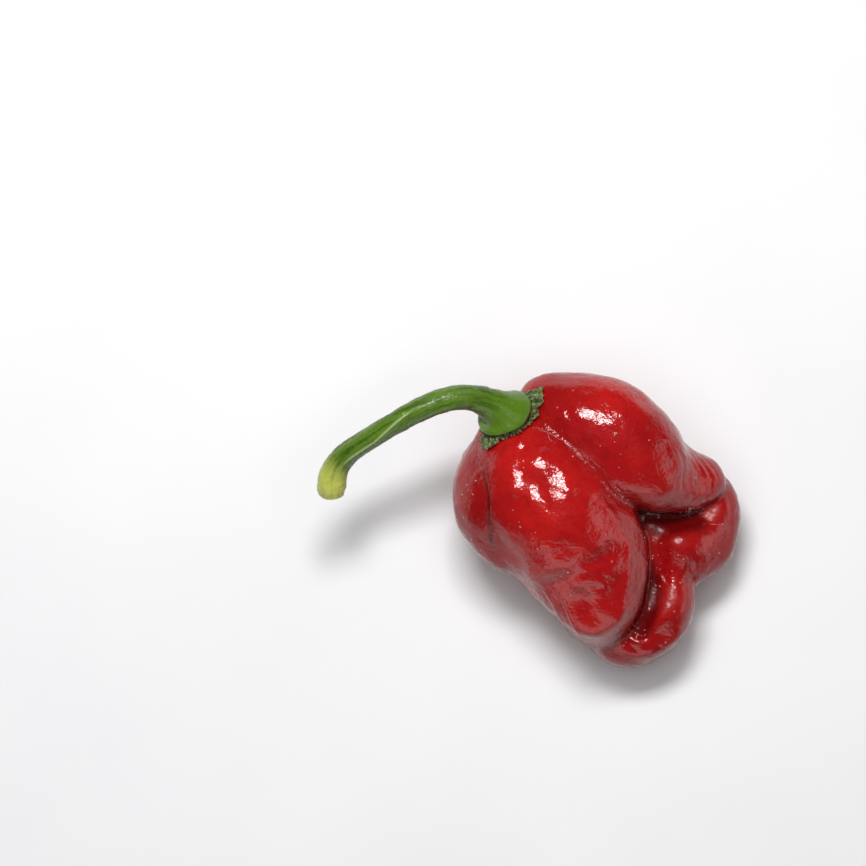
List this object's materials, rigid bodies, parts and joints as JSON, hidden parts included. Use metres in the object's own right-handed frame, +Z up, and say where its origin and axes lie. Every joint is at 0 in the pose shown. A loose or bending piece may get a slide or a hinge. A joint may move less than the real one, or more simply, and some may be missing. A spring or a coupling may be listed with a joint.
{
  "type": "scotch bonnet pepper",
  "caption": "Glossy lobed red scotch bonnet pepper lying on its side, with folds at the blossom end and a bent green stem and calyx.",
  "frame": {"origin": "middle of the footprint of the overall box, on the surface the pepper lies on", "axes": "+X is the long way of the pepper, away from the end of its stem; +Z is up; +Y completes the frame, towards the side the stem joins the pod"},
  "size_m": [0.0718, 0.0502, 0.0322],
  "materials": {
    "pod_skin": "waxy glossy skin",
    "stem_green": "satin green stalk"
  },
  "bodies": {
    "root": {"pod": "pod_skin", "stem": "stem_green"}
  },
  "joints": []
}
